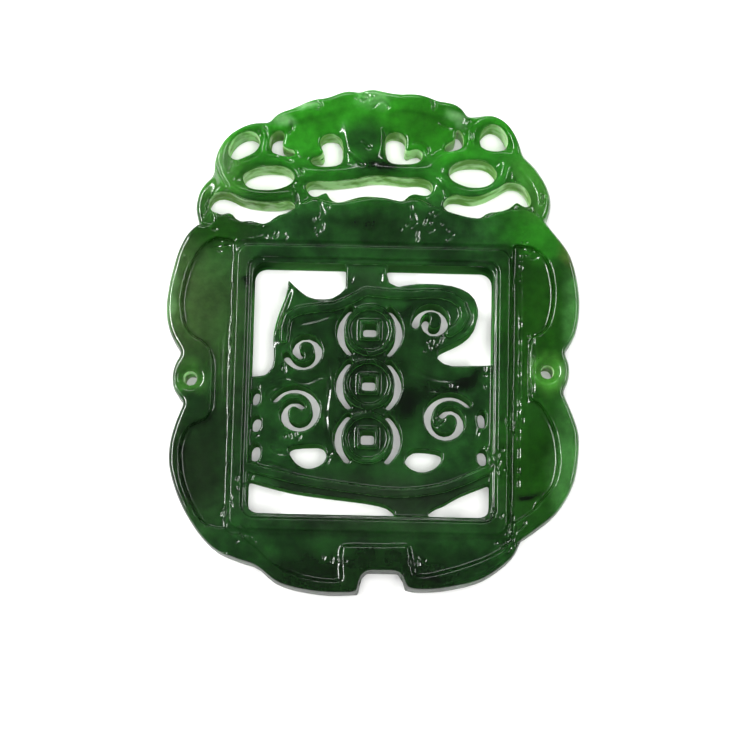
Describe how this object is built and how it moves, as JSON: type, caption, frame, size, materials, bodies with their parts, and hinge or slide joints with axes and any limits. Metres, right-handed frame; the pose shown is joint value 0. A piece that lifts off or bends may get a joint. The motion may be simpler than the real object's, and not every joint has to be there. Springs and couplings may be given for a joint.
{
  "type": "carved jade plaque pendant",
  "caption": "Flat carved jade pendant plaque with four lobes, a pierced coin and cloud window, side rings and an openwork crown.",
  "frame": {"origin": "middle of the pendant's outline, on the plane of its flat back, which lies on the surface", "axes": "+Z out of the carved face, +Y towards the crown, +X to the right as the face is looked at"},
  "size_m": [0.0454, 0.056, 0.0052],
  "materials": {
    "jade": "polished translucent green nephrite"
  },
  "bodies": {
    "root": {"pendant": "jade"}
  },
  "joints": []
}
